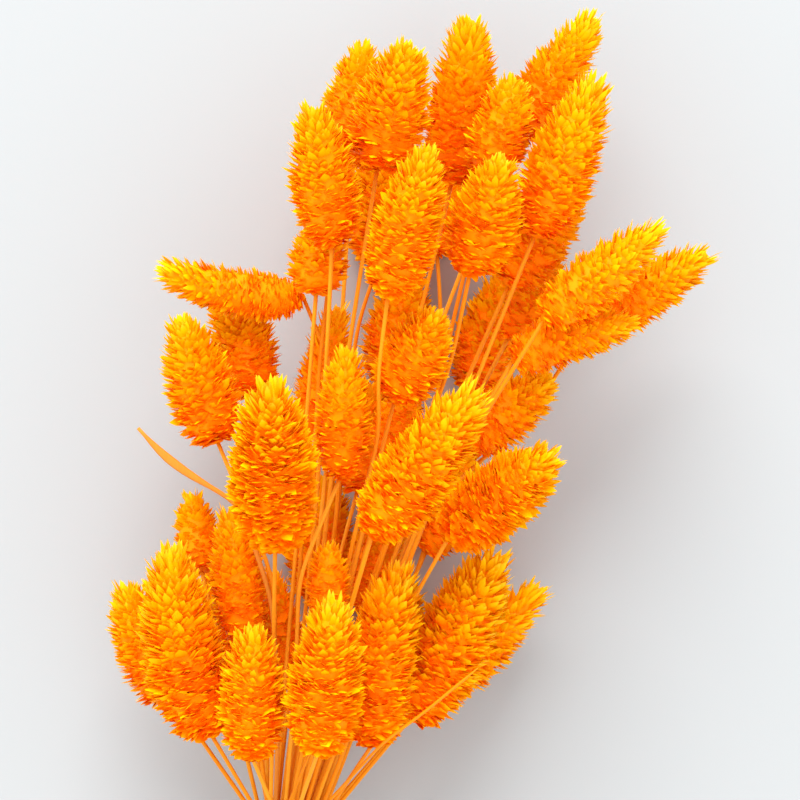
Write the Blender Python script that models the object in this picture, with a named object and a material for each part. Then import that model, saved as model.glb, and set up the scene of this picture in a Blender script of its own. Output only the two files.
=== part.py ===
"""A tied bunch of dyed canary grass seed heads, laid down on its side.

The bunch lies along Y: cut stem ends toward -Y, seed heads toward +Y, +Z up.
Every grass stem grows with its own seed head, so the two are one solid.
Heads are laid out on a grid as they appear from straight above, each with a
height of its own. Stems run from their place in the tie to the foot of their
head and give way to each other and to the heads on their way.
"""

import math

import bmesh
import bpy
import numpy as np

MM = 0.001

# Layout grid, in millimetres: one step, the eye height in which the grid is drawn
# and the level at which a step has its full size.
GRID = 0.24
SIGHT = 900.0
LEVEL = 50.0

# Stems and tie, in millimetres.
STEM_R = 0.75
STEM_CORNER_R = 0.85
STEM_REST = 0.60
SLOT_PITCH = 2.05
GAP = 0.45
SLICE = 4.0
TIE_PLACE = (289.0, 842.0, 27.0)
END_PLACE = (215.0, 1620.0, 11.5)
END_SPLAY = 0.85
END_STAGGER = 5.0
END_STRAY = 2.2
TIE_HALF_WIDTH = 3.6
TIE_THICKNESS = 1.9
TIE_CLEARANCE = 0.4
TIE_COILS = 4
TIE_SIDES = 28

# Seed heads: one ring of scales has this many, and a row is about this long.
AROUND = 8
ROW_LENGTH = 5.3
CORE_SHARE = 0.79
REST_SHARE = 0.70
SCALE_SEED = 11

# name, tip u, tip v, foot u, foot v, width over the scales (grid steps),
# foot height, tip height (mm), bend. A height of 0 means pressed on the surface.
HEADS = [
    ("seed_head_a01", 122, 577, 174, 701, 72, 36, 34, 0.04),
    ("seed_head_a02", 175, 535, 212, 736, 87, 50, 54, 0.07),
    ("seed_head_a03", 190, 487, 202, 572, 52, 34, 30, 0.00),
    ("seed_head_a04", 228, 500, 245, 645, 62, 40, 42, 0.00),
    ("seed_head_a05", 252, 620, 252, 757, 72, 56, 68, 0.00),
    ("seed_head_a06", 335, 592, 318, 752, 80, 65, 78, 0.00),
    ("seed_head_a07", 405, 555, 372, 745, 78, 50, 58, 0.03),
    ("seed_head_a08", 504, 543, 409, 720, 88, 36, 40, 0.00),
    ("seed_head_a09", 548, 577, 420, 704, 67, 20, 18, -0.02),
    ("seed_head_a10", 328, 538, 328, 620, 50, 50, 54, 0.00),
    ("seed_head_a11", 272, 562, 290, 690, 50, 34, 36, 0.00),
    ("seed_head_b01", 178, 311, 218, 443, 76, 50, 52, 0.00),
    ("seed_head_b02", 229, 272, 252, 397, 76, 32, 28, 0.00),
    ("seed_head_b03", 150, 262, 303, 297, 57, 42, 50, 0.07),
    ("seed_head_b04", 340, 295, 310, 440, 58, 34, 34, 0.00),
    ("seed_head_b05", 270, 375, 275, 545, 90, 64, 86, 0.00),
    ("seed_head_b06", 348, 338, 340, 478, 60, 60, 68, 0.00),
    ("seed_head_b07", 485, 378, 372, 535, 80, 76, 84, 0.00),
    ("seed_head_b08", 440, 308, 395, 398, 75, 58, 66, 0.00),
    ("seed_head_b09", 415, 380, 385, 455, 56, 38, 42, 0.00),
    ("seed_head_b10", 560, 450, 450, 535, 80, 53, 70, 0.00),
    ("seed_head_b11", 500, 470, 425, 553, 52, 32, 30, 0.00),
    ("seed_head_b12", 557, 373, 466, 445, 70, 36, 36, 0.00),
    ("seed_head_b13", 668, 222, 543, 321, 63, 57, 61, 0.00),
    ("seed_head_b14", 718, 247, 580, 335, 64, 40, 44, 0.00),
    ("seed_head_b15", 645, 322, 512, 362, 60, 52, 54, 0.05),
    ("seed_head_b16", 562, 256, 508, 338, 58, 34, 34, 0.00),
    ("seed_head_c01", 322, 215, 316, 293, 66, 52, 50, 0.00),
    ("seed_head_c02", 312, 98, 332, 245, 72, 62, 72, 0.00),
    ("seed_head_c03", 366, 37, 345, 150, 65, 42, 42, 0.00),
    ("seed_head_c04", 335, 82, 350, 170, 58, 26, 24, 0.00),
    ("seed_head_c05", 410, 36, 377, 170, 82, 58, 66, 0.00),
    ("seed_head_c06", 474, 6, 451, 185, 76, 42, 40, 0.00),
    ("seed_head_c07", 430, 140, 388, 295, 72, 72, 84, 0.00),
    ("seed_head_c08", 505, 152, 470, 272, 78, 62, 72, 0.00),
    ("seed_head_c09", 600, 70, 534, 237, 77, 52, 56, 0.00),
    ("seed_head_c10", 585, 170, 508, 287, 70, 40, 40, 0.00),
    ("seed_head_c11", 600, 8, 514, 140, 66, 34, 34, 0.00),
    ("seed_head_c12", 517, 70, 488, 178, 67, 50, 54, 0.00),
    ("seed_head_d01", 218, 545, 240, 672, 74, 0, 0, 0.00),
    ("seed_head_d02", 325, 468, 318, 600, 78, 0, 0, 0.00),
    ("seed_head_d03", 410, 570, 378, 690, 74, 0, 0, 0.00),
    ("seed_head_d04", 412, 262, 388, 385, 78, 0, 0, 0.00),
    ("seed_head_d05", 470, 440, 425, 545, 74, 0, 0, 0.00),
    ("seed_head_d06", 385, 125, 378, 265, 80, 0, 0, 0.00),
    ("seed_head_d07", 512, 262, 472, 390, 74, 0, 0, 0.00),
    ("seed_head_d08", 372, 376, 357, 492, 68, 22, 22, 0.00),
    ("seed_head_d09", 456, 160, 437, 254, 60, 0, 0, 0.00),
    ("seed_head_d10", 384, 500, 366, 612, 62, 22, 22, 0.00),
]

# Stems with no seed head: name, radius they keep clear, way from the free tip
# toward the tie (u, v, height).
BARE = [
    ("leaf_blade", 0.75, [(138, 428, 57), (166, 459, 55), (197, 480, 54), (227, 496, 52), (246, 509, 50)]),
    ("bare_stem_1", 0.60, [(478, 668, 78), (420, 716, 70), (365, 755, 60)]),
    ("bare_stem_2", 0.70, [(312, 748, 50), (290, 775, 48)]),
]

# Outline of a seed head: share of its length, share of its half width.
OUTLINE_T = [0.0, 0.05, 0.15, 0.30, 0.50, 0.70, 0.85, 0.95, 1.0]
OUTLINE_R = [0.45, 0.70, 0.90, 1.00, 0.96, 0.80, 0.58, 0.32, 0.12]

HEAD_STEPS = np.linspace(0.05, 0.98, 10)
HEAD_FINE_STEPS = np.linspace(0.0, 1.0, 14)


def outline(t):
    return np.interp(t, OUTLINE_T, OUTLINE_R)


def seen(u, v, z):
    """Place in millimetres of grid point u, v at height z."""
    k = (SIGHT + LEVEL - z) / SIGHT
    return np.array([(u - 400.0) * GRID * k, (400.0 - v) * GRID * k, z])


def head_curve(head, foot_z, tip_z):
    """Foot, middle handle and tip of the curve down the middle of a head."""
    _, tip_u, tip_v, foot_u, foot_v, _, _, _, bend = head
    foot = seen(foot_u, foot_v, foot_z)
    tip = seen(tip_u, tip_v, tip_z)
    side = np.array([foot[1] - tip[1], tip[0] - foot[0], 0.0])
    return foot, 0.5 * (foot + tip) + 2.0 * bend * side, tip


def along(curve, s):
    foot, handle, tip = curve
    s = np.asarray(s, float)[..., None]
    return (1 - s) ** 2 * foot + 2 * s * (1 - s) * handle + s * s * tip


def heading(curve, s):
    foot, handle, tip = curve
    way = (1 - s) * (handle - foot) + s * (tip - handle)
    return way / np.linalg.norm(way)


def settle_heads(rounds=400):
    """Heights of every head's foot and tip, lifted clear of the heads below."""
    count = len(HEADS)
    steps = len(HEAD_STEPS)
    half = np.array([head[5] * GRID * 0.5 for head in HEADS])
    z = np.array([[head[6], head[7]] for head in HEADS], float)
    pressed = np.array([head[6] == 0 for head in HEADS])
    z[pressed] = REST_SHARE * half[pressed][:, None]
    want = z.copy()
    share = np.stack([1 - HEAD_STEPS, HEAD_STEPS], 1)
    reach = (half[:, None] * outline(HEAD_STEPS)[None, :]).reshape(-1)
    order = (want @ share.T).reshape(-1)
    above = np.sign(order[:, None] - order[None, :])
    own = np.repeat(np.arange(count), steps)
    others = own[:, None] != own[None, :]
    need = reach[:, None] + reach[None, :] + GAP
    for _ in range(rounds):
        spots = np.array(
            [along(head_curve(HEADS[i], z[i, 0], z[i, 1]), HEAD_STEPS) for i in range(count)]
        ).reshape(-1, 3)
        flat2 = ((spots[:, None, :2] - spots[None, :, :2]) ** 2).sum(-1)
        apart = spots[:, 2][:, None] - spots[:, 2][None, :]
        hit = (flat2 < need ** 2) & others
        lack = np.where(hit, np.sqrt(np.maximum(need ** 2 - flat2, 0)) - above * apart, 0.0)
        push = (above * np.maximum(lack, 0)).reshape(count, steps, count, steps)
        pair = np.abs(push).max(axis=3) * np.sign(push.sum(axis=3))
        total = pair.max(axis=2) + pair.min(axis=2)
        move = np.zeros((count, 2))
        for end in range(2):
            turn = total * share[:, end][None, :]
            move[:, end] = 0.5 * (turn.max(axis=1) + turn.min(axis=1))
        move[pressed] = 0
        z += 0.6 * move
        z[~pressed] = np.maximum(z[~pressed], 1.02 * half[~pressed][:, None])
        z[~pressed] += 0.01 * (want[~pressed] - z[~pressed])
    return z, half


def slots(count):
    """Closest packing of stems round the middle of the tie."""
    found = []
    for row in range(-7, 8):
        for column in range(-7, 8):
            x = (column + 0.5 * (row % 2)) * SLOT_PITCH + 0.3
            found.append((x, row * SLOT_PITCH * math.sqrt(0.75) + 0.2))
    found.sort(key=lambda p: p[0] ** 2 + p[1] ** 2)
    return np.array(found[:count])


def choose_slots(tops, tie):
    """Gives each stem the slot that lies on the side it leans to."""
    count = len(tops)
    place = slots(count)
    aim = (tops - tie)[:, [0, 2]] / np.maximum((tops - tie)[:, 1], 30.0)[:, None]
    aim = aim - aim.mean(axis=0)
    aim = aim * (place.std() / aim.std())
    cost = ((aim[:, None, :] - place[None, :, :]) ** 2).sum(-1)
    left = list(range(count))
    pick = [0] * count
    for i in np.argsort(-(aim ** 2).sum(axis=1), kind="stable"):
        best = min(left, key=lambda j: cost[i, j])
        pick[i] = best
        left.remove(best)
    changed = True
    while changed:
        changed = False
        for i in range(count):
            for k in range(i + 1, count):
                now = cost[i, pick[i]] + cost[k, pick[k]]
                if cost[i, pick[k]] + cost[k, pick[i]] < now - 1e-9:
                    pick[i], pick[k] = pick[k], pick[i]
                    changed = True
    return place[pick]


def hermite(start, finish, slope_a, slope_b, s, length):
    return (
        (2 * s ** 3 - 3 * s ** 2 + 1) * start
        + (s ** 3 - 2 * s ** 2 + s) * length * slope_a
        + (3 * s ** 2 - 2 * s ** 3) * finish
        + (s ** 3 - s ** 2) * length * slope_b
    )


def route_stems(z, half, rounds=320):
    """Stem places (x, z) on a row of slices along Y, from the cut ends to the heads."""
    tie = seen(*TIE_PLACE)
    end = seen(*END_PLACE)
    heads = len(HEADS)
    count = heads + len(BARE)
    curves = [head_curve(HEADS[i], z[i, 0], z[i, 1]) for i in range(heads)]
    ways = [[curve[0]] for curve in curves]
    ways += [[seen(*spot) for spot in bare[2]][::-1] for bare in BARE]
    tops = np.array([way[-1] for way in ways])
    radius = np.array([STEM_R] * heads + [bare[1] for bare in BARE])
    slot = choose_slots(np.array([way[0] for way in ways]), tie)
    lean = (tie - end)[[0, 2]] / (tie - end)[1]
    below = int((tie[1] - end[1]) // SLICE)
    above = int((tops[:, 1].max() - tie[1]) // SLICE) + 1
    ys = tie[1] + SLICE * np.arange(-below, above + 1)
    middle = below
    place = np.zeros((len(ys), count, 2))
    live = np.zeros((len(ys), count), bool)
    held = np.zeros((len(ys), count), bool)
    stray = np.random.RandomState(SCALE_SEED).uniform(-END_STRAY, END_STRAY, (count, 2))
    for i in range(count):
        start = tie[[0, 2]] + slot[i] + lean * SLICE
        first = ways[i][0]
        length = first[1] - tie[1] - SLICE
        direct = (first[[0, 2]] - start) / length
        if i < heads:
            way = heading(curves[i], 0.0)
            slope = way[[0, 2]] / max(way[1], 0.35)
            slope_b = 0.5 * direct + 0.5 * np.clip(slope, -1.4, 1.4)
        else:
            step = ways[i][1] - first
            slope_b = 0.5 * (direct + step[[0, 2]] / step[1])
        slope_a = 0.8 * direct + 0.2 * lean
        for k, y in enumerate(ys):
            if y > tops[i, 1] - 0.5 * SLICE and k > middle + 1:
                continue
            live[k, i] = True
            if k <= middle + 1:
                f = (tie[1] - y) / (tie[1] - end[1])
                centre = tie[[0, 2]] + (end - tie)[[0, 2]] * f
                wide = max(f - 0.02, 0.0)
                place[k, i] = centre + slot[i] * (1 + END_SPLAY * wide ** 1.2) + stray[i] * wide ** 1.5
            elif y <= first[1]:
                s = (y - tie[1] - SLICE) / length
                place[k, i] = hermite(start, first[[0, 2]], slope_a, slope_b, s, length)
            else:
                held[k, i] = True
                levels = [spot[1] for spot in ways[i]]
                place[k, i, 0] = np.interp(y, levels, [spot[0] for spot in ways[i]])
                place[k, i, 1] = np.interp(y, levels, [spot[2] for spot in ways[i]])
    fixed = np.zeros(len(ys), bool)
    fixed[middle - 1:middle + 2] = True
    centres = np.concatenate([along(curve, HEAD_FINE_STEPS) for curve in curves])
    reach = (half[:, None] * outline(HEAD_FINE_STEPS)[None, :]).reshape(-1) + 0.25
    owner = np.repeat(np.arange(heads), len(HEAD_FINE_STEPS))
    last = [int(np.nonzero(live[:, i])[0].max()) for i in range(count)]
    everyone = np.arange(count)
    for turn in range(rounds):
        # The stems are drawn taut at first, then only pushed clear of each other.
        taut = 0.35 if turn < 0.6 * rounds else 0.05
        slope = np.zeros_like(place)
        slope[1:-1] = (place[2:] - place[:-2]) / (2 * SLICE)
        inner = live.copy()
        inner[1:-1] &= live[2:] & live[:-2]
        slope[~inner] = 0
        steep = np.sqrt(1 + (slope ** 2).sum(-1))
        stretch = np.minimum(steep, 1.8)
        apart = place[:, :, None, :] - place[:, None, :, :]
        distance = np.sqrt((apart ** 2).sum(-1)) + 1e-9
        longest = np.maximum(stretch[:, :, None], stretch[:, None, :])
        need = (radius[:, None] + radius[None, :])[None] * longest * 1.05 + 0.9 * GAP
        both = live[:, :, None] & live[:, None, :]
        lack = np.where(both & (distance < need), need - distance, 0.0)
        lack[:, everyone, everyone] = 0
        move = 0.4 * (apart / distance[..., None] * lack[..., None]).sum(2)
        for k in range(middle, len(ys)):
            off = ys[k] - centres[:, 1]
            near = np.abs(off) < reach
            if not near.any():
                continue
            disc = np.sqrt(reach[near] ** 2 - off[near] ** 2)
            gap = place[k][:, None, :] - centres[near][:, [0, 2]][None]
            width = np.sqrt((gap ** 2).sum(-1)) + 1e-9
            room = disc[None, :] + (radius * np.minimum(steep[k], 2.7))[:, None] + GAP
            foreign = owner[near][None, :] != everyone[:, None]
            short = np.where((width < room) & foreign & live[k][:, None], room - width, 0.0)
            worst = short.argmax(axis=1)
            away = gap[everyone, worst] / width[everyone, worst][:, None]
            move[k] += 0.5 * away * short[everyone, worst][:, None]
        move[fixed] = 0
        place = place + move
        smooth = place.copy()
        inside = live[1:-1] & live[2:] & live[:-2] & ~fixed[1:-1, None] & ~held[1:-1]
        bow = 0.5 * (place[2:] + place[:-2]) - place[1:-1]
        smooth[1:-1][inside] += taut * bow[inside]
        for i in range(count):
            k = last[i]
            f = SLICE / (SLICE + tops[i, 1] - ys[k])
            goal = place[k - 1, i] * (1 - f) + tops[i, [0, 2]] * f
            smooth[k, i] += 0.35 * (goal - place[k, i])
        place = smooth
        place[..., 1] = np.where(live, np.maximum(place[..., 1], STEM_REST), place[..., 1])
    lines = []
    stagger = np.random.RandomState(SCALE_SEED).uniform(0, END_STAGGER, count)
    for i in range(count):
        spots = [(place[k, i, 0], ys[k], place[k, i, 1]) for k in range(last[i] + 1)]
        spots[0] = (spots[0][0], spots[0][1] - stagger[i], spots[0][2])
        lines.append(np.array(spots + [tuple(tops[i])]))
    return lines, middle, slot, tie, lean, curves


def stations(line, middle, step):
    """The spots of a stem line that get a ring: sparse below the tie, closer above."""
    last = len(line) - 1
    picks = [0, middle // 5, (2 * middle) // 5, (3 * middle) // 5, (4 * middle) // 5, middle - 1, middle + 1]
    picks += list(range(middle + 1 + step, last - 1, step))
    if picks[-1] < last - 1:
        picks.append(last - 1)
    return [p for p in picks if p < last]


def frame_of(way):
    """Side and up vectors square to a direction."""
    way = way / np.linalg.norm(way)
    up = np.array([0.0, 0.0, 1.0]) - way[2] * way
    up = up / np.linalg.norm(up)
    return np.cross(way, up), up


class Skin:
    """Collects corners and faces of one closed solid."""

    def __init__(self):
        self.points = []
        self.faces = []

    def ring(self, centre, way, across, high, angles):
        side, up = frame_of(way)
        first = len(self.points)
        for a in angles:
            spot = centre + side * across * math.cos(a) + up * high * math.sin(a)
            self.points.append(spot)
        return list(range(first, len(self.points)))

    def point(self, spot):
        self.points.append(np.array(spot, float))
        return len(self.points) - 1

    def band(self, lower, upper):
        count = len(lower)
        for i in range(count):
            j = (i + 1) % count
            self.faces.append((lower[i], lower[j], upper[j]))
            self.faces.append((lower[i], upper[j], upper[i]))

    def make(self, name, colour, roughness):
        mesh = bpy.data.meshes.new(name)
        body = bmesh.new()
        corners = []
        for p in self.points:
            corners.append(body.verts.new((p[0] * MM, p[1] * MM, max(p[2], 0.0) * MM)))
        for face in self.faces:
            body.faces.new([corners[i] for i in face])
        bmesh.ops.recalc_face_normals(body, faces=body.faces)
        body.to_mesh(mesh)
        body.free()
        material = bpy.data.materials.new(name)
        material.use_nodes = True
        shader = material.node_tree.nodes["Principled BSDF"]
        shader.inputs["Base Color"].default_value = colour
        shader.inputs["Roughness"].default_value = roughness
        shader.inputs["Metallic"].default_value = 0.0
        mesh.materials.append(material)
        obj = bpy.data.objects.new(name, mesh)
        bpy.context.scene.collection.objects.link(obj)
        return obj


SQUARE = [math.radians(45 + 90 * i) for i in range(4)]


def stem_tube(skin, line, middle, across, high, stop_short, step=3):
    """Four-sided tube along a stem line, open at its upper end. Returns its last ring."""
    picks = stations(line, middle, step)
    rings = []
    for p in picks:
        before = line[max(p - 1, 0)]
        after = line[min(p + 1, len(line) - 1)]
        rings.append(skin.ring(line[p], after - before, across(p), high(p), SQUARE))
    way = line[-1] - line[picks[-1]]
    way = way / np.linalg.norm(way)
    final = line[-1] - way * stop_short
    if np.linalg.norm(final - line[picks[-1]]) > 2.0:
        last = len(line) - 1
        rings.append(skin.ring(final, way, across(last), high(last), SQUARE))
    skin.faces.append((rings[0][2], rings[0][1], rings[0][0]))
    skin.faces.append((rings[0][3], rings[0][2], rings[0][0]))
    for lower, upper in zip(rings, rings[1:]):
        skin.band(lower, upper)
    return rings[-1]


def join_rings(skin, small, small_angles, large, large_angles):
    """Closes the step between two rings with different numbers of corners."""
    turn = 2 * math.pi
    events = [(a % turn, 0, i) for i, a in enumerate(small_angles)]
    events += [(a % turn, 1, i) for i, a in enumerate(large_angles)]
    events.sort()
    current = [None, None]
    for _, kind, i in events:
        current[kind] = i
    for _, kind, i in events:
        if kind == 0:
            skin.faces.append((small[current[0]], small[i], large[current[1]]))
        else:
            skin.faces.append((small[current[0]], large[i], large[current[1]]))
        current[kind] = i


def scaly_head(skin, curve, half, stem_ring, pressed, draw):
    """Rows of pointed scales raised from a slim core, closed at the tip."""
    length = np.linalg.norm(curve[2] - curve[0])
    rows = int(min(max(round(length / ROW_LENGTH), 5), 8))
    stops = np.linspace(0.03, 0.93, rows + 1)
    turn = 2 * math.pi / AROUND
    phase = -math.pi / 2 + turn / 2 if pressed else draw.uniform(0, turn)
    rings = []
    angles = []
    for k, t in enumerate(stops):
        these = [phase + turn * (i + 0.5 * (k % 2)) for i in range(AROUND)]
        r = half * CORE_SHARE * outline(t)
        rings.append(skin.ring(along(curve, t), heading(curve, t), r, r, these))
        angles.append(these)
    join_rings(skin, stem_ring, SQUARE, rings[0], angles[0])
    for k in range(rows):
        lower, upper = rings[k], rings[k + 1]
        shift = k % 2
        share = k / (rows - 1)
        for i in range(AROUND):
            j = (i + 1) % AROUND
            # Corner above the edge i to j of the lower ring.
            top = (i + shift) % AROUND
            t = stops[k + 1] + (0.15 + 0.55 * share) * (stops[k + 1] - stops[k])
            a = angles[k][i] + turn / 2
            side, up = frame_of(heading(curve, min(t, 1.0)))
            r = half * outline(min(t, 0.97)) * draw.uniform(0.96, 1.0)
            spot = along(curve, t) + side * r * math.cos(a) + up * r * math.sin(a)
            if spot[2] < 0.4:
                skin.faces.append((lower[i], lower[j], upper[top]))
            else:
                apex = skin.point(spot)
                skin.faces.append((lower[i], lower[j], apex))
                skin.faces.append((lower[j], upper[top], apex))
                skin.faces.append((upper[top], lower[i], apex))
            after = (top + 1) % AROUND
            skin.faces.append((lower[j], upper[after], upper[top]))
    tip = skin.point(curve[2])
    for i in range(AROUND):
        skin.faces.append((rings[-1][i], rings[-1][(i + 1) % AROUND], tip))


def make_head(index, line, middle, curve, half, colour):
    skin = Skin()
    draw = np.random.RandomState(SCALE_SEED + 1 + index)
    size = STEM_CORNER_R

    def same(p):
        return size

    ring = stem_tube(skin, line, middle, same, same, 1.0)
    scaly_head(skin, curve, half, ring, HEADS[index][6] == 0, draw)
    return skin, skin.make(HEADS[index][0], colour, 0.6)


def make_bare(index, line, middle, colour):
    """A stem with no head: it narrows to a blunt tip. The leaf blade is flat on top."""
    skin = Skin()
    name, radius, _ = BARE[index]
    last = len(line) - 1
    flat_from = last - 4 if name == "leaf_blade" else last + 1

    def across(p):
        if p >= flat_from:
            return 1.3 if p < last else 0.6
        return radius + 0.05 if p < last else 0.5

    def high(p):
        return 0.5 if p >= flat_from else (radius + 0.05 if p < last else 0.5)

    ring = stem_tube(skin, line, middle, across, high, 0.0, 1)
    skin.faces.append((ring[0], ring[1], ring[2]))
    skin.faces.append((ring[0], ring[2], ring[3]))
    return skin, skin.make(name, colour, 0.6)


def make_tie(tie, lean, slot, colour):
    """A flat twine band of a few coils, closed round the stems, with a knot on top."""
    way = np.array([lean[0], 1.0, lean[1]])
    way = way / np.linalg.norm(way)
    side, up = frame_of(way)
    inner = np.sqrt((slot ** 2).sum(axis=1)).max() + STEM_CORNER_R + TIE_CLEARANCE
    coil = 2 * TIE_HALF_WIDTH / TIE_COILS
    profile = [(inner, -TIE_HALF_WIDTH), (inner, TIE_HALF_WIDTH)]
    for c in range(TIE_COILS):
        top = TIE_HALF_WIDTH - c * coil
        profile.append((inner + TIE_THICKNESS - 0.45, top - 0.06 * coil))
        profile.append((inner + TIE_THICKNESS, top - 0.35 * coil))
        profile.append((inner + TIE_THICKNESS, top - 0.65 * coil))
    profile.append((inner + TIE_THICKNESS - 0.45, -TIE_HALF_WIDTH + 0.06 * coil))
    skin = Skin()
    rings = []
    for s in range(TIE_SIDES):
        a = 2 * math.pi * s / TIE_SIDES
        out = side * math.cos(a) + up * math.sin(a)
        rings.append([skin.point(tie + out * r + way * w) for r, w in profile])
    for s in range(TIE_SIDES):
        skin.band(rings[s], rings[(s + 1) % TIE_SIDES])
    return skin, skin.make("twine_tie", colour, 0.85), inner, side, up, way


def add_knot(band, tie, inner, side, up, way, colour):
    """A small round knot with two short tails, joined to the band."""
    def world(across, out, forward):
        p = tie + side * across + up * out + way * forward
        return (p[0] * MM, p[1] * MM, p[2] * MM)

    top = inner + TIE_THICKNESS
    pieces = []
    mesh = bpy.data.meshes.new("knot")
    body = bmesh.new()
    bmesh.ops.create_icosphere(body, subdivisions=2, radius=2.3 * MM)
    bmesh.ops.scale(body, vec=(1.25, 1.0, 0.75), verts=body.verts)
    bmesh.ops.translate(body, vec=world(0.0, top + 0.5, 0.0), verts=body.verts)
    body.to_mesh(mesh)
    body.free()
    knot = bpy.data.objects.new("knot", mesh)
    pieces.append(knot)
    for hand in (-1, 1):
        curve = bpy.data.curves.new("tail", "CURVE")
        curve.dimensions = "3D"
        curve.bevel_depth = 0.75 * MM
        curve.bevel_resolution = 1
        curve.use_fill_caps = True
        spline = curve.splines.new("POLY")
        route = [
            world(0.0, top + 0.6, 0.0),
            world(hand * 4.0, top + 1.0, -1.5),
            world(hand * 8.5, top - 0.6, -5.0),
            world(hand * 11.5, top - 3.8, -10.5),
            world(hand * 13.0, top - 7.8, -17.0),
        ]
        spline.points.add(len(route) - 1)
        for spot, co in zip(spline.points, route):
            spot.co = (co[0], co[1], co[2], 1.0)
        tail = bpy.data.objects.new("tail", curve)
        bpy.context.scene.collection.objects.link(tail)
        graph = bpy.context.evaluated_depsgraph_get()
        solid = bpy.data.meshes.new_from_object(tail.evaluated_get(graph))
        bpy.data.objects.remove(tail, do_unlink=True)
        pieces.append(bpy.data.objects.new("tail", solid))
    extra = bpy.data.collections.new("knot_pieces")
    for piece in pieces:
        extra.objects.link(piece)
    bpy.context.scene.collection.children.link(extra)
    union = band.modifiers.new("knot", "BOOLEAN")
    union.operation = "UNION"
    union.operand_type = "COLLECTION"
    union.collection = extra
    graph = bpy.context.evaluated_depsgraph_get()
    joined = bpy.data.meshes.new_from_object(band.evaluated_get(graph))
    band.modifiers.clear()
    band.data = joined
    band.data.materials.clear()
    band.data.materials.append(bpy.data.materials["twine_tie"])
    for piece in pieces:
        bpy.data.objects.remove(piece, do_unlink=True)
    bpy.data.collections.remove(extra)


def main():
    for obj in list(bpy.data.objects):
        bpy.data.objects.remove(obj, do_unlink=True)
    z, half = settle_heads()
    lines, middle, slot, tie, lean, curves = route_stems(z, half)
    made = []
    draw = np.random.RandomState(SCALE_SEED)
    for i in range(len(HEADS)):
        tint = draw.uniform(0.9, 1.0)
        colour = (1.0 * tint, 0.37 * tint, 0.012, 1.0)
        made.append(make_head(i, lines[i], middle, curves[i], half[i], colour)[1])
    for i in range(len(BARE)):
        colour = (0.86, 0.45, 0.10, 1.0)
        made.append(make_bare(i, lines[len(HEADS) + i], middle, colour)[1])
    _, band, inner, side, up, way = make_tie(tie, lean, slot, (0.62, 0.45, 0.26, 1.0))
    add_knot(band, tie, inner, side, up, way, (0.62, 0.45, 0.26, 1.0))
    made.append(band)
    # The origin is under the middle of the bunch, on the surface it lies on.
    low = np.full(3, 1e9)
    high = np.full(3, -1e9)
    for obj in made:
        spots = np.array([corner.co for corner in obj.data.vertices])
        low = np.minimum(low, spots.min(axis=0))
        high = np.maximum(high, spots.max(axis=0))
    for obj in made:
        obj.data.transform(_shift(low, high))


def _shift(low, high):
    from mathutils import Matrix

    return Matrix.Translation((-0.5 * (low[0] + high[0]), -0.5 * (low[1] + high[1]), -low[2]))


main()
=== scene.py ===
"""A tied bunch of dyed canary grass seed heads, laid down and seen from straight above."""

import math

import bpy
import numpy as np
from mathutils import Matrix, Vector


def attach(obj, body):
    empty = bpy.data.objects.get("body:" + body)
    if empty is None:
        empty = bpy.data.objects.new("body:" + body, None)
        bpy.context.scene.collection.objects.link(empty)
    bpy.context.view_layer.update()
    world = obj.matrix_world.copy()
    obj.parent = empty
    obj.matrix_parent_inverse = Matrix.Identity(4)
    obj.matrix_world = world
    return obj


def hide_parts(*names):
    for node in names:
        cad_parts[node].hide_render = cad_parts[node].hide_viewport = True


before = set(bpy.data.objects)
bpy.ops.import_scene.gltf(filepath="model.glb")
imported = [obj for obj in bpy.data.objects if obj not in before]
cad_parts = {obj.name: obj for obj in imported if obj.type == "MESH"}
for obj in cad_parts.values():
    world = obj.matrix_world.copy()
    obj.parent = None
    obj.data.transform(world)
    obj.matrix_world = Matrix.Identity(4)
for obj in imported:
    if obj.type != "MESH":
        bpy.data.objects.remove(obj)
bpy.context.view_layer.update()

MM = 0.001
TINY = 1e-9

# Layout grid, in millimetres: one step, the eye height in which the grid is drawn
# and the level at which a step has its full size. The middle is in grid steps.
GRID = 0.24
GRID_MIDDLE = 400.0
SIGHT = 900.0
LEVEL = 50.0

# Stems, in millimetres: radius kept clear, least height, gap to other pieces,
# distance between slices, and the packing of the stems in the tie.
STEM_R = 0.75
STEM_REST = 0.60
GAP = 0.45
SLICE = 4.0
SLOT_PITCH = 2.05
SLOT_REACH = 7
SLOT_SHIFT = (0.3, 0.2)

# Middle of the tie and of the cut ends (u, v, height), and how the ends spread.
TIE_PLACE = (289.0, 842.0, 27.0)
END_PLACE = (215.0, 1620.0, 11.5)
END_SPLAY = 0.85
SPLAY_POWER = 1.2
END_STRAY = 2.2
STRAY_POWER = 1.5
SPREAD_FROM = 0.02
END_STAGGER = 5.0
LAYOUT_SEED = 11

# Settling of the heads: rounds, share of a push taken at a time, pull back to the
# wanted height, least height and height of a pressed head over its half width.
SETTLE_ROUNDS = 400
SETTLE_SHARE = 0.6
SETTLE_PULL = 0.01
LEAST_HEIGHT = 1.02
PRESSED_HEIGHT = 0.70

# Routing of the stems: rounds, share of them with the stems drawn taut, and how far
# one round draws and pushes them.
ROUTE_ROUNDS = 320
TAUT_SHARE = 0.6
TAUT_FIRST = 0.35
TAUT_LATER = 0.05
STEM_PUSH = 0.4
HEAD_PUSH = 0.5
TOP_PULL = 0.35
STEM_ROOM = 1.05
GAP_SHARE = 0.9
HEAD_SKIN = 0.25

# Slopes: the steepest at a head, how a stem leaves the tie, the limits on the room that
# a sloping stem takes, and the least way over which the stems fan out.
STEEPEST_FOOT = 1.4
DIRECT_SHARE = 0.8
LEAN_SHARE = 0.2
LEAST_RISE = 0.35
MOST_STRETCH = 1.8
MOST_STEEP = 2.7
LEAST_FAN = 30.0

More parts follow.
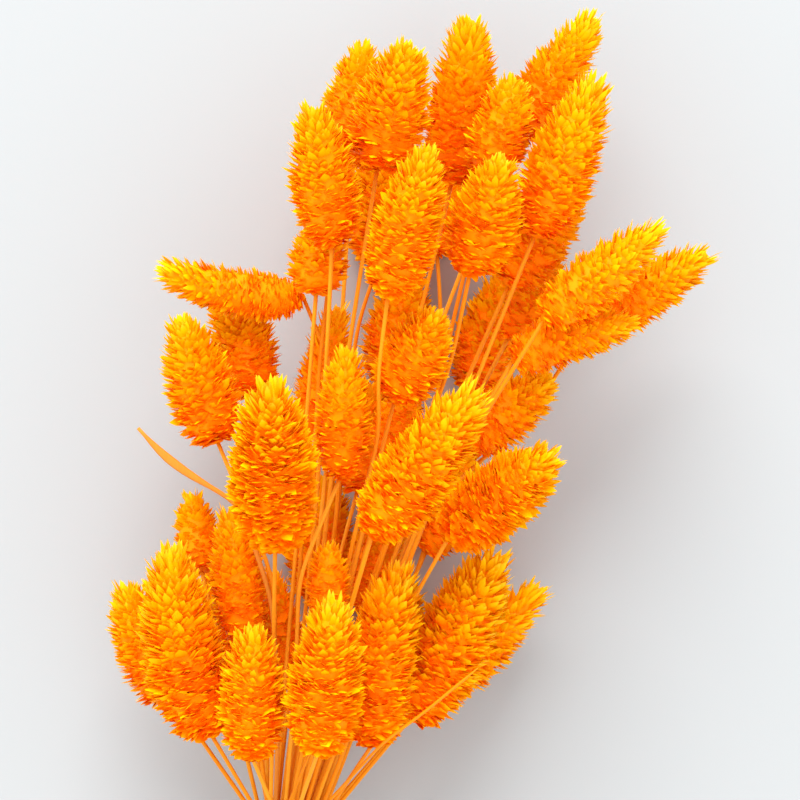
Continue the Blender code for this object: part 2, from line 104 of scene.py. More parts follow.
# name, tip u, tip v, foot u, foot v, width over the scales (grid steps),
# foot height, tip height (mm), bend. A height of 0 means pressed on the surface.
HEADS = [
    ("seed_head_a01", 122, 577, 174, 701, 72, 36, 34, 0.04),
    ("seed_head_a02", 175, 535, 212, 736, 87, 50, 54, 0.07),
    ("seed_head_a03", 190, 487, 202, 572, 52, 34, 30, 0.00),
    ("seed_head_a04", 228, 500, 245, 645, 62, 40, 42, 0.00),
    ("seed_head_a05", 252, 620, 252, 757, 72, 56, 68, 0.00),
    ("seed_head_a06", 335, 592, 318, 752, 80, 65, 78, 0.00),
    ("seed_head_a07", 405, 555, 372, 745, 78, 50, 58, 0.03),
    ("seed_head_a08", 504, 543, 409, 720, 88, 36, 40, 0.00),
    ("seed_head_a09", 548, 577, 420, 704, 67, 20, 18, -0.02),
    ("seed_head_a10", 328, 538, 328, 620, 50, 50, 54, 0.00),
    ("seed_head_a11", 272, 562, 290, 690, 50, 34, 36, 0.00),
    ("seed_head_b01", 178, 311, 218, 443, 76, 50, 52, 0.00),
    ("seed_head_b02", 229, 272, 252, 397, 76, 32, 28, 0.00),
    ("seed_head_b03", 150, 262, 303, 297, 57, 42, 50, 0.07),
    ("seed_head_b04", 340, 295, 310, 440, 58, 34, 34, 0.00),
    ("seed_head_b05", 270, 375, 275, 545, 90, 64, 86, 0.00),
    ("seed_head_b06", 348, 338, 340, 478, 60, 60, 68, 0.00),
    ("seed_head_b07", 485, 378, 372, 535, 80, 76, 84, 0.00),
    ("seed_head_b08", 440, 308, 395, 398, 75, 58, 66, 0.00),
    ("seed_head_b09", 415, 380, 385, 455, 56, 38, 42, 0.00),
    ("seed_head_b10", 560, 450, 450, 535, 80, 53, 70, 0.00),
    ("seed_head_b11", 500, 470, 425, 553, 52, 32, 30, 0.00),
    ("seed_head_b12", 557, 373, 466, 445, 70, 36, 36, 0.00),
    ("seed_head_b13", 668, 222, 543, 321, 63, 57, 61, 0.00),
    ("seed_head_b14", 718, 247, 580, 335, 64, 40, 44, 0.00),
    ("seed_head_b15", 645, 322, 512, 362, 60, 52, 54, 0.05),
    ("seed_head_b16", 562, 256, 508, 338, 58, 34, 34, 0.00),
    ("seed_head_c01", 322, 215, 316, 293, 66, 52, 50, 0.00),
    ("seed_head_c02", 312, 98, 332, 245, 72, 62, 72, 0.00),
    ("seed_head_c03", 366, 37, 345, 150, 65, 42, 42, 0.00),
    ("seed_head_c04", 335, 82, 350, 170, 58, 26, 24, 0.00),
    ("seed_head_c05", 410, 36, 377, 170, 82, 58, 66, 0.00),
    ("seed_head_c06", 474, 6, 451, 185, 76, 42, 40, 0.00),
    ("seed_head_c07", 430, 140, 388, 295, 72, 72, 84, 0.00),
    ("seed_head_c08", 505, 152, 470, 272, 78, 62, 72, 0.00),
    ("seed_head_c09", 600, 70, 534, 237, 77, 52, 56, 0.00),
    ("seed_head_c10", 585, 170, 508, 287, 70, 40, 40, 0.00),
    ("seed_head_c11", 600, 8, 514, 140, 66, 34, 34, 0.00),
    ("seed_head_c12", 517, 70, 488, 178, 67, 50, 54, 0.00),
    ("seed_head_d01", 218, 545, 240, 672, 74, 0, 0, 0.00),
    ("seed_head_d02", 325, 468, 318, 600, 78, 0, 0, 0.00),
    ("seed_head_d03", 410, 570, 378, 690, 74, 0, 0, 0.00),
    ("seed_head_d04", 412, 262, 388, 385, 78, 0, 0, 0.00),
    ("seed_head_d05", 470, 440, 425, 545, 74, 0, 0, 0.00),
    ("seed_head_d06", 385, 125, 378, 265, 80, 0, 0, 0.00),
    ("seed_head_d07", 512, 262, 472, 390, 74, 0, 0, 0.00),
    ("seed_head_d08", 372, 376, 357, 492, 68, 22, 22, 0.00),
    ("seed_head_d09", 456, 160, 437, 254, 60, 0, 0, 0.00),
    ("seed_head_d10", 384, 500, 366, 612, 62, 22, 22, 0.00),
]

# Stems with no seed head: name, radius they keep clear, way from the free tip
# toward the tie (u, v, height).
BARE = [
    (
        "leaf_blade", 0.75,
        [(138, 428, 57), (166, 459, 55), (197, 480, 54), (227, 496, 52), (246, 509, 50)],
    ),
    ("bare_stem_1", 0.60, [(478, 668, 78), (420, 716, 70), (365, 755, 60)]),
    ("bare_stem_2", 0.70, [(312, 748, 50), (290, 775, 48)]),
]

# The bare stem whose foot tells where the frame has the layout, and its corners there.
GUIDE_STEM = 1
GUIDE_CORNERS = 4

# Outline of a seed head: share of its length, share of its half width.
OUTLINE_T = [0.0, 0.05, 0.15, 0.30, 0.50, 0.70, 0.85, 0.95, 1.0]
OUTLINE_R = [0.45, 0.70, 0.90, 1.00, 0.96, 0.80, 0.58, 0.32, 0.12]
HEAD_STEPS = np.linspace(0.05, 0.98, 10)
HEAD_FINE_STEPS = np.linspace(0.0, 1.0, 14)

# Body of a seed head and the surface on which its glumes root, as shares like the outline.
BODY_OUTLINE_T = [0.0, 0.05, 0.14, 0.38, 0.66, 0.82, 0.92]
BODY_OUTLINE_R = [0.12, 0.42, 0.67, 0.74, 0.57, 0.33, 0.06]
BODY_STEPS = 14
BODY_SIDES = 14
ROOT_OUTLINE_T = [0.0, 0.06, 0.16, 0.40, 0.70, 0.86, 1.0]
ROOT_OUTLINE_R = [0.08, 0.20, 0.29, 0.33, 0.26, 0.12, 0.03]
ROOT_DEPTH = 0.8

# Rows of spikelets, in millimetres, and the angle between a spikelet and its head.
SPIKELET_SEED = 4100
ROOT_SPAN = (0.03, 0.83)
ROW_STEP = 1.15
ROW_SHARE = 0.88
GLUME_SPACING = 2.3
FEWEST_IN_ROW = 5
TIP_THINNING = 0.45
GOLDEN_ANGLE = 2.399963
PLACE_STRAY = 0.18
ROW_STRAY = 0.45
LEAN_AT = [0.0, 0.10, 0.28, 0.55, 0.80, 1.0]
LEAN_DEGREES = [112.0, 90.0, 70.0, 56.0, 40.0, 14.0]
LEAN_STRAY = 10

# Length of a spikelet: limits over the head's half width, then how it varies.
SPIKELET_LIMITS = (0.25, 1.05)
SIZE_SEARCH = 18
SIZE_RANGE = (0.86, 1.15)
TIP_EXTRA = 0.18

# A glume: full width in millimetres on a head of common half width, then its form
# at stations along it, as shares of its length and half width.
GLUME_WIDTH = 3.3
COMMON_HALF = 9.6
GROWTH_LIMITS = (0.72, 1.15)
STATION = np.array([0.0, 0.42, 0.80, 1.0])
GLUME_WIDE = np.array([0.40, 1.00, 0.78, 0.06])
GLUME_FOLD = np.array([0.10, 0.30, 0.24, 0.0])
SIDEWAYS = np.array([-1.0, 0.0, 1.0])
NARROWING = 0.28
TIP_NARROWING = 0.34

# How glumes differ: degrees of opening and roll, sway, and shares of their form.
OPENING = (2, 12)
ROLL = 16
SWAY = 0.16
LENGTH_RANGE = (0.90, 1.0)
BREADTH_RANGE = (0.75, 1.15)
FOLD_RANGE = (0.5, 1.2)
CURL_RANGE = (-0.02, 0.16)

# Tones of a seed head. Along a glume: painted shade at the root, where glumes overlap, and a painted
# highlight at the tip, over the dyed orange.
# From foot to tip of the head: lighter toward the tip, partly dye and partly painted light, as if the
# tip end were lit from above.
# The body of a head is painted in deep shade.
GLUME_SHADE_TO_HIGHLIGHT = np.array([0.10, 0.20, 0.44, 0.74])
DYE_AND_LIGHT_OF_PLACE = 0.80
TONE_STRAY = 0.15
BODY_SHADE_TONE = 0.02
BODY_DYE_AND_LIGHT_OF_PLACE = 0.55

# Stems on show, in millimetres: radius at the cut end, taper, unevenness and its waves.
STRAW_R = 0.66
STRAW_TAPER = 0.14
STRAW_UNEVEN = 0.02
UNEVEN_WAVES = 37.0
STRAW_SIDES = 7
STRAW_TONES = (0.2, 1.0)
BARE_R = 0.56
BARE_TAPER = 0.22
BARE_TIP = 4.0
BARE_TIP_SHARE = 0.35
BARE_SIDES = 8
BARE_TONE = 0.35

# Leaf blade in millimetres: way from its tip, half width, half thickness.
LEAF_AWAY = [0.0, 2.0, 6.0, 11.0, 17.0, 22.0, 28.0]
LEAF_HALF_WIDTH = [0.42, 0.40, 0.78, 1.12, 0.95, 0.60, 0.58]
LEAF_HALF_DEPTH = [0.14, 0.16, 0.20, 0.22, 0.26, 0.40, 0.55]

# Twine of the tie, in millimetres: radius over both plies, turns round the stems,
# and the plies, whose sizes are for twine of full thickness.
TWINE_R = 0.94
TWINE_TURNS = 4.0
TWINE_START = 0.3
TWINE_SPOTS = 600
TWINE_CLEARANCE = 0.30
TIE_HALF_WIDTH = 3.6
PLY_PITCH = 4.2
PLY_OFFSET = 0.42
PLY_R = 0.52
PLY_SIDES = 7
PLY_STARTS = (0.0, math.pi)

# Tails and knot of the tie. A tail's spots: out to the side, above the twine and
# along the stems. The knot: height over the twine, then how far it swings each way.
TAIL_SIZE = 0.78
TAIL_SPOTS = [
    (0.0, 0.6, 0.0), (4.0, 1.0, -1.5), (8.5, -0.6, -5.0), (11.5, -3.8, -10.5), (12.8, -7.4, -16.4),
]
KNOT_SIZE = 0.85
KNOT_SPOTS = 90
KNOT_HEIGHT = 0.5
KNOT_SWING = (1.55, 1.15, 0.55)

# Smoothed lines: steps in millimetres, fewest spots and rounds of smoothing. Then the
# least height of any point.
STEM_STEP = 3.0
BARE_STEP = 2.5
COIL_STEP = 0.45
TAIL_STEP = 0.7
FEWEST_SPOTS = 8
SMOOTHINGS = 3
LOWEST = 0.02

# Colour ramps: place on the ramp, colour.
# The grain ramp: its deep orange low end stands for painted shade and its yellow high end for a
# painted highlight, over the dyed orange.
GRAIN_STOPS = [
    (0.0, (0.985, 0.310, 0.0)),
    (0.25, (0.975, 0.420, 0.0)),
    (0.50, (0.955, 0.505, 0.0)),
    (0.80, (0.950, 0.545, 0.0)),
    (1.0, (0.950, 0.565, 0.012)),
]
TINT_STOPS = [(0.3, (1.0, 0.86, 0.7)), (0.7, (1.0, 1.0, 1.0))]
STRAW_STOPS = [(0.1, (0.78, 0.180, 0.0)), (0.5, (0.82, 0.270, 0.003)), (0.9, (0.88, 0.390, 0.020))]
LEAF_STOPS = [(0.1, (0.64, 0.190, 0.010)), (0.5, (0.70, 0.260, 0.030)), (0.9, (0.76, 0.330, 0.065))]
TWINE_STOPS = [(0.3, (0.42, 0.27, 0.12)), (0.7, (0.74, 0.56, 0.33))]

# How shades and streaks move along the ramps.
GRAIN_TONE_SHARE = 0.85
GRAIN_STREAK_SHARE = 0.08
GRAIN_LEVEL = 0.41
TINT_SHARE = 0.5
STRAW_STREAK_SHARE = 0.5
STRAW_LEVEL = 0.67
STREAK_STRETCH = (1.0, 0.06, 1.0)

# Floor, daylight and key light: places and sizes in metres from the middle of the layout.
FLOOR_HALF = 4.0
FLOOR_COLOUR = (0.408, 0.428, 0.436, 1.0)
DAYLIGHT = 1.50
KEY_PLACE = (-0.30, 2.6, 2.1)
KEY_AIM_HEIGHT = 0.05
KEY_SIZE = 2.6
KEY_POWER = 140.0

# Camera: width of its sensor in millimetres and nearest distance seen in metres.
SENSOR = 36.0
NEAREST = 0.05


def outline(t):
    return np.interp(t, OUTLINE_T, OUTLINE_R)


def seen(u, v, z):
    """Place in millimetres of grid point u, v at height z."""
    k = (SIGHT + LEVEL - z) / SIGHT
    return np.array([(u - GRID_MIDDLE) * GRID * k, (GRID_MIDDLE - v) * GRID * k, z])


def head_curve(head, foot_z, tip_z):
    """Foot, middle handle and tip of the curve down the middle of a head."""
    _, tip_u, tip_v, foot_u, foot_v, _, _, _, bend = head
    foot = seen(foot_u, foot_v, foot_z)
    tip = seen(tip_u, tip_v, tip_z)
    side = np.array([foot[1] - tip[1], tip[0] - foot[0], 0.0])
    return foot, 0.5 * (foot + tip) + 2.0 * bend * side, tip


def along(curve, s):
    foot, handle, tip = curve
    s = np.asarray(s, float)[..., None]
    return (1 - s) ** 2 * foot + 2 * s * (1 - s) * handle + s * s * tip


def heading(curve, s):
    foot, handle, tip = curve
    way = (1 - s) * (handle - foot) + s * (tip - handle)
    return way / np.linalg.norm(way)


def settle_heads():
    """Heights of every head's foot and tip, lifted clear of the heads below."""
    count = len(HEADS)
    steps = len(HEAD_STEPS)
    half = np.array([head[5] * GRID * 0.5 for head in HEADS])
    z = np.array([[head[6], head[7]] for head in HEADS], float)
    pressed = np.array([head[6] == 0 for head in HEADS])
    lifted = ~pressed
    z[pressed] = PRESSED_HEIGHT * half[pressed][:, None]
    want = z.copy()
    share = np.stack([1 - HEAD_STEPS, HEAD_STEPS], 1)
    reach = (half[:, None] * outline(HEAD_STEPS)[None, :]).reshape(-1)
    order = (want @ share.T).reshape(-1)
    above = np.sign(order[:, None] - order[None, :])
    own = np.repeat(np.arange(count), steps)
    others = own[:, None] != own[None, :]
    need = reach[:, None] + reach[None, :] + GAP
    for _ in range(SETTLE_ROUNDS):
        spots = np.array(
            [along(head_curve(HEADS[i], z[i, 0], z[i, 1]), HEAD_STEPS) for i in range(count)]
        ).reshape(-1, 3)
        flat2 = ((spots[:, None, :2] - spots[None, :, :2]) ** 2).sum(-1)
        apart = spots[:, 2][:, None] - spots[:, 2][None, :]
        hit = (flat2 < need ** 2) & others
        lack = np.where(hit, np.sqrt(np.maximum(need ** 2 - flat2, 0)) - above * apart, 0.0)
        push = (above * np.maximum(lack, 0)).reshape(count, steps, count, steps)
        pair = np.abs(push).max(axis=3) * np.sign(push.sum(axis=3))
        total = pair.max(axis=2) + pair.min(axis=2)
        move = np.zeros((count, 2))
        for end in range(2):
            turn = total * share[:, end][None, :]
            move[:, end] = 0.5 * (turn.max(axis=1) + turn.min(axis=1))
        move[pressed] = 0
        z += SETTLE_SHARE * move
        z[lifted] = np.maximum(z[lifted], LEAST_HEIGHT * half[lifted][:, None])
        z[lifted] += SETTLE_PULL * (want[lifted] - z[lifted])
    return z, half


def slots(count):
    """Closest packing of stems round the middle of the tie."""
    found = []
    for row in range(-SLOT_REACH, SLOT_REACH + 1):
        for column in range(-SLOT_REACH, SLOT_REACH + 1):
            x = (column + 0.5 * (row % 2)) * SLOT_PITCH + SLOT_SHIFT[0]
            found.append((x, row * SLOT_PITCH * math.sqrt(0.75) + SLOT_SHIFT[1]))
    found.sort(key=lambda p: p[0] ** 2 + p[1] ** 2)
    return np.array(found[:count])


def choose_slots(feet, tie):
    """Gives each stem the slot that lies on the side it leans to."""
    count = len(feet)
    place = slots(count)
    aim = (feet - tie)[:, [0, 2]] / np.maximum((feet - tie)[:, 1], LEAST_FAN)[:, None]
    aim = aim - aim.mean(axis=0)
    aim = aim * (place.std() / aim.std())
    cost = ((aim[:, None, :] - place[None, :, :]) ** 2).sum(-1)
    left = list(range(count))
    pick = [0] * count
    for i in np.argsort(-(aim ** 2).sum(axis=1), kind="stable"):
        best = min(left, key=lambda j: cost[i, j])
        pick[i] = best
        left.remove(best)
    changed = True
    while changed:
        changed = False
        for i in range(count):
            for k in range(i + 1, count):
                now = cost[i, pick[i]] + cost[k, pick[k]]
                if cost[i, pick[k]] + cost[k, pick[i]] < now - TINY:
                    pick[i], pick[k] = pick[k], pick[i]
                    changed = True
    return place[pick]


def hermite(start, finish, slope_a, slope_b, s, length):
    return (
        (2 * s ** 3 - 3 * s ** 2 + 1) * start
        + (s ** 3 - 2 * s ** 2 + s) * length * slope_a
        + (3 * s ** 2 - 2 * s ** 3) * finish
        + (s ** 3 - s ** 2) * length * slope_b
    )


def foot_slope(i, way, direct, curves):
    """Slope of stem i where it meets its head, or where its known way begins."""
    if i < len(curves):
        into = heading(curves[i], 0.0)
        slope = into[[0, 2]] / max(into[1], LEAST_RISE)
        return 0.5 * direct + 0.5 * np.clip(slope, -STEEPEST_FOOT, STEEPEST_FOOT)
    step = way[1] - way[0]
    return 0.5 * (direct + step[[0, 2]] / step[1])


def first_places(ways, curves, slot, tie, end, ys, middle):
    """First place of each stem in each slice, with where it is live and where it is held."""
    count = len(ways)
    lean = (tie - end)[[0, 2]] / (tie - end)[1]
    place = np.zeros((len(ys), count, 2))
    live = np.zeros((len(ys), count), bool)
    held = np.zeros((len(ys), count), bool)
    stray = np.random.RandomState(LAYOUT_SEED).uniform(-END_STRAY, END_STRAY, (count, 2))
    for i, way in enumerate(ways):
        start = tie[[0, 2]] + slot[i] + lean * SLICE
        first = way[0]
        levels = [spot[1] for spot in way]
        length = first[1] - tie[1] - SLICE
        direct = (first[[0, 2]] - start) / length
        slope_a = DIRECT_SHARE * direct + LEAN_SHARE * lean
        slope_b = foot_slope(i, way, direct, curves)
        for k, y in enumerate(ys):
            if y > levels[-1] - 0.5 * SLICE and k > middle + 1:
                continue
            live[k, i] = True
            if k <= middle + 1:
                f = (tie[1] - y) / (tie[1] - end[1])
                centre = tie[[0, 2]] + (end - tie)[[0, 2]] * f
                wide = max(f - SPREAD_FROM, 0.0)
                splay = slot[i] * (1 + END_SPLAY * wide ** SPLAY_POWER)
                place[k, i] = centre + splay + stray[i] * wide ** STRAY_POWER
            elif y <= first[1]:
                s = (y - tie[1] - SLICE) / length
                place[k, i] = hermite(start, first[[0, 2]], slope_a, slope_b, s, length)
            else:
                held[k, i] = True
                place[k, i, 0] = np.interp(y, levels, [spot[0] for spot in way])
                place[k, i, 1] = np.interp(y, levels, [spot[2] for spot in way])
    return place, live, held


def steepness(place, live):
    """Length of a stem in a slice over the slice's own."""
    slope = np.zeros_like(place)
    slope[1:-1] = (place[2:] - place[:-2]) / (2 * SLICE)
    inner = live.copy()
    inner[1:-1] &= live[2:] & live[:-2]
    slope[~inner] = 0
    return np.sqrt(1 + (slope ** 2).sum(-1))


def push_from_stems(place, live, steep, radius):
    """Moves that bring the stems clear of each other."""
    everyone = np.arange(len(radius))
    stretch = np.minimum(steep, MOST_STRETCH)
    apart = place[:, :, None, :] - place[:, None, :, :]
    distance = np.sqrt((apart ** 2).sum(-1)) + TINY
    longest = np.maximum(stretch[:, :, None], stretch[:, None, :])
    pair = radius[:, None] + radius[None, :]
    need = pair[None] * longest * STEM_ROOM + GAP_SHARE * GAP
    both = live[:, :, None] & live[:, None, :]
    lack = np.where(both & (distance < need), need - distance, 0.0)
    lack[:, everyone, everyone] = 0
    return STEM_PUSH * (apart / distance[..., None] * lack[..., None]).sum(2)


def push_from_heads(place, live, steep, radius, spots, y):
    """Moves in the slice at y that bring the stems clear of the heads of others."""
    centres, reach, owner = spots
    everyone = np.arange(len(radius))
    off = y - centres[:, 1]
    near = np.abs(off) < reach
    if not near.any():
        return 0.0
    disc = np.sqrt(reach[near] ** 2 - off[near] ** 2)
    gap = place[:, None, :] - centres[near][:, [0, 2]][None]
    width = np.sqrt((gap ** 2).sum(-1)) + TINY
    room = disc[None, :] + (radius * np.minimum(steep, MOST_STEEP))[:, None] + GAP
    foreign = owner[near][None, :] != everyone[:, None]
    short = np.where((width < room) & foreign & live[:, None], room - width, 0.0)
    worst = short.argmax(axis=1)
    away = gap[everyone, worst] / width[everyone, worst][:, None]
    return HEAD_PUSH * away * short[everyone, worst][:, None]


def draw_taut(place, free, tops, ys, last, taut):
    """Stems straightened a little, with their last spots drawn toward their tops."""
    smooth = place.copy()
    bow = 0.5 * (place[2:] + place[:-2]) - place[1:-1]
    smooth[1:-1][free] += taut * bow[free]
    for i, k in enumerate(last):
        f = SLICE / (SLICE + tops[i, 1] - ys[k])
        goal = place[k - 1, i] * (1 - f) + tops[i, [0, 2]] * f
        smooth[k, i] += TOP_PULL * (goal - place[k, i])
    return smooth


def route_stems(z, half):
    """Lines of all stems, from the cut ends to the heads, and what the tie holds them by."""
    tie = seen(*TIE_PLACE)
    end = seen(*END_PLACE)
    heads = len(HEADS)
    curves = [head_curve(HEADS[i], z[i, 0], z[i, 1]) for i in range(heads)]
    ways = [[curve[0]] for curve in curves]
    ways += [[seen(*spot) for spot in bare[2]][::-1] for bare in BARE]
    count = len(ways)
    tops = np.array([way[-1] for way in ways])
    radius = np.array([STEM_R] * heads + [bare[1] for bare in BARE])
    slot = choose_slots(np.array([way[0] for way in ways]), tie)
    middle = int((tie[1] - end[1]) // SLICE)
    above = int((tops[:, 1].max() - tie[1]) // SLICE) + 1
    ys = tie[1] + SLICE * np.arange(-middle, above + 1)
    place, live, held = first_places(ways, curves, slot, tie, end, ys, middle)
    fixed = np.zeros(len(ys), bool)
    fixed[middle - 1:middle + 2] = True
    free = live[1:-1] & live[2:] & live[:-2] & ~fixed[1:-1, None] & ~held[1:-1]
    last = [int(np.nonzero(live[:, i])[0].max()) for i in range(count)]
    spots = (
        np.concatenate([along(curve, HEAD_FINE_STEPS) for curve in curves]),
        (half[:, None] * outline(HEAD_FINE_STEPS)[None, :]).reshape(-1) + HEAD_SKIN,
        np.repeat(np.arange(heads), len(HEAD_FINE_STEPS)),
    )
    for turn in range(ROUTE_ROUNDS):
        # The stems are drawn taut at first, then only pushed clear of each other.
        taut = TAUT_FIRST if turn < TAUT_SHARE * ROUTE_ROUNDS else TAUT_LATER
        steep = steepness(place, live)
        move = push_from_stems(place, live, steep, radius)
        for k in range(middle, len(ys)):
            move[k] += push_from_heads(place[k], live[k], steep[k], radius, spots, ys[k])
        move[fixed] = 0
        place = draw_taut(place + move, free, tops, ys, last, taut)
        place[..., 1] = np.where(live, np.maximum(place[..., 1], STEM_REST), place[..., 1])
    lines = []
    stagger = np.random.RandomState(LAYOUT_SEED).uniform(0, END_STAGGER, count)
    for i in range(count):
        line = [(place[k, i, 0], ys[k], place[k, i, 1]) for k in range(last[i] + 1)]
        line[0] = (line[0][0], line[0][1] - stagger[i], line[0][2])
        lines.append(np.array(line + [tuple(tops[i])]))
    lean = (tie - end)[[0, 2]] / (tie - end)[1]
    return lines, curves, slot, tie, lean


def offset_from_frame(lines):
    """Moves the layout onto the frame: the foot of one bare stem is found there."""
    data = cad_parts[BARE[GUIDE_STEM][0]].data
    spots = np.unique(np.round(np.array([v.co for v in data.vertices]) / MM, 3), axis=0)
    foot = spots[np.argsort(spots[:, 1])[:GUIDE_CORNERS]].mean(axis=0)
    offset = foot - lines[len(HEADS) + GUIDE_STEM][0]
    return np.array([offset[0], offset[1], 0.0])


def smooth_line(line, step):
    """The same line with spots at even steps, rounded between the slices."""
    length = np.concatenate([[0.0], np.cumsum(np.linalg.norm(np.diff(line, axis=0), axis=1))])
    count = max(int(length[-1] / step), FEWEST_SPOTS)
    even = np.linspace(0.0, length[-1], count)
    out = np.stack([np.interp(even, length, line[:, k]) for k in range(3)], 1)
    for _ in range(SMOOTHINGS):
        out[1:-1] = 0.25 * out[:-2] + 0.5 * out[1:-1] + 0.25 * out[2:]
    return out


def unit_rows(rows):
    return rows / np.linalg.norm(rows, axis=1)[:, None]


def side_and_up(way):
    """Directions beside and above each row of way."""
    up = unit_rows(np.array([0.0, 0.0, 1.0])[None, :] - way[:, 2:3] * way)
    return np.cross(way, up), up


class Surface:
    """Gathers corners, faces, material numbers and shades for one mesh."""

    def __init__(self):
        self.points = []
        self.quads = []
        self.slots = []
        self.shades = []
        self.count = 0

    def add(self, points, quads, slot, shades):
        """A triangle is given as a quad that names its last corner twice."""
        self.points.append(points)
        self.quads.append(quads + self.count)
        self.slots.append(np.full(len(quads), slot))
        self.shades.append(shades)
        self.count += len(points)

    def tube(self, line, across, high, sides, slot, tone):
        """Closed tube round a line, with its half width and half height along it."""
        way = unit_rows(np.gradient(line, axis=0))
        side, up = side_and_up(way)
        angle = 2 * math.pi * np.arange(sides) / sides
        across = np.broadcast_to(across, (len(line),))
        high = np.broadcast_to(high, (len(line),))
        ring = (
            line[:, None, :]
            + side[:, None, :] * (across[:, None] * np.cos(angle))[..., None]
            + up[:, None, :] * (high[:, None] * np.sin(angle))[..., None]
        )
        points = np.concatenate([ring.reshape(-1, 3), line[:1], line[-1:]])
        i = np.arange(len(line) - 1)[:, None] * sides
        j = np.arange(sides)[None, :]
        k = (j + 1) % sides
        quads = np.stack([i + j, i + k, i + sides + k, i + sides + j], -1).reshape(-1, 4)
        first = np.full(sides, len(line) * sides)
        base = (len(line) - 1) * sides
        j = j[0]
        k = k[0]
        low = np.stack([k, j, first, first], 1)
        top = np.stack([base + j, base + k, first + 1, first + 1], 1)
        place = np.repeat(np.linspace(0, 1, len(line)), sides)
        place = np.concatenate([place, [0.0, 1.0]])
        shades = np.stack([place, np.full(len(points), tone), np.zeros(len(points))], 1)
        self.add(points, np.concatenate([quads, low, top]), slot, shades)

    def make(self, name, materials):
        """The mesh as an object, moved onto the frame and kept above the floor."""
        points = np.concatenate(self.points) + OFFSET
        points[:, 2] = np.maximum(points[:, 2], LOWEST)
        points *= MM
        quads = np.concatenate(self.quads)
        slots = np.concatenate(self.slots)
        shades = np.concatenate(self.shades)
        three = quads[:, 2] == quads[:, 3]
        sizes = np.where(three, 3, 4)
        keep = np.ones(quads.size, bool)
        keep[3::4] = ~three
        loops = quads.reshape(-1)[keep]
        starts = np.concatenate([[0], np.cumsum(sizes)[:-1]])
        mesh = bpy.data.meshes.new(name)
        mesh.vertices.add(len(points))
        mesh.vertices.foreach_set("co", points.astype(np.float32).reshape(-1))
        mesh.loops.add(len(loops))
        mesh.loops.foreach_set("vertex_index", loops.astype(np.int32))
        mesh.polygons.add(len(quads))
        mesh.polygons.foreach_set("loop_start", starts.astype(np.int32))
        mesh.polygons.foreach_set("loop_total", sizes.astype(np.int32))
        mesh.polygons.foreach_set("material_index", slots.astype(np.int32))
        mesh.polygons.foreach_set("use_smooth", np.ones(len(quads), bool))
        layer = mesh.attributes.new("shade", "FLOAT_COLOR", "POINT")
        full = np.concatenate([shades, np.ones((len(shades), 1))], 1)
        layer.data.foreach_set("color", full.astype(np.float32).reshape(-1))
        for material in materials:
            mesh.materials.append(material)
        mesh.update(calc_edges=True)
        mesh.validate()
        obj = bpy.data.objects.new(name, mesh)
        bpy.context.scene.collection.objects.link(obj)
        return obj


def add_body(surface, curve, half):
    """Closed body of a seed head, which the spikelets stand out of."""
    stops = np.linspace(0.0, BODY_OUTLINE_T[-1], BODY_STEPS)
    wide = half * np.interp(stops, BODY_OUTLINE_T, BODY_OUTLINE_R)
    surface.tube(along(curve, stops), wide, wide, BODY_SIDES, 0, 0.0)
    # Painted shade: the body shows only in the gaps between glumes, so it is coloured deep orange.
    shades = surface.shades[-1]
    shades[:, 1] = BODY_DYE_AND_LIGHT_OF_PLACE * shades[:, 0]
    shades[:, 0] = BODY_SHADE_TONE


def spikelet_places(length, half, draw):
    """Way along the head and turn round it of every spikelet, row after row."""
    span = ROOT_SPAN[1] - ROOT_SPAN[0]
    rows = int(round(span * length / ROW_STEP))
    twist = draw.uniform(0, 2 * math.pi)
    places = []
    turns = []
    for k in range(rows):
        t = ROOT_SPAN[0] + span * (k + 0.5) / rows
        girth = 2 * math.pi * half * outline(t) * ROW_SHARE
        thinned = 1 - TIP_THINNING * ((k + 0.5) / rows) ** 4
        count = int(round(max(girth / GLUME_SPACING * thinned, FEWEST_IN_ROW)))
        even = (np.arange(count) + draw.uniform(-PLACE_STRAY, PLACE_STRAY, count)) / count
        turns.append(2 * math.pi * even + twist)
        places.append(t + draw.uniform(-ROW_STRAY, ROW_STRAY, count) / rows)
        twist += GOLDEN_ANGLE / 2.0 + math.pi / count
    return np.clip(np.concatenate(places), *ROOT_SPAN), np.concatenate(turns)


def spikelet_lengths(t, lean, core, half, length):
    """Lengths with which the spikelets just reach the outline of the head."""
    low = np.full(len(t), SPIKELET_LIMITS[0] * half)
    high = np.full(len(t), SPIKELET_LIMITS[1] * half)
    for _ in range(SIZE_SEARCH):
        mid = 0.5 * (low + high)
        reach = core + mid * np.sin(lean)
        tip_t = t + mid * np.cos(lean) / length
        over = (reach > half * outline(np.clip(tip_t, 0, 1))) | (tip_t > 1.0)
        high = np.where(over, mid, high)
        low = np.where(over, low, mid)
    return low


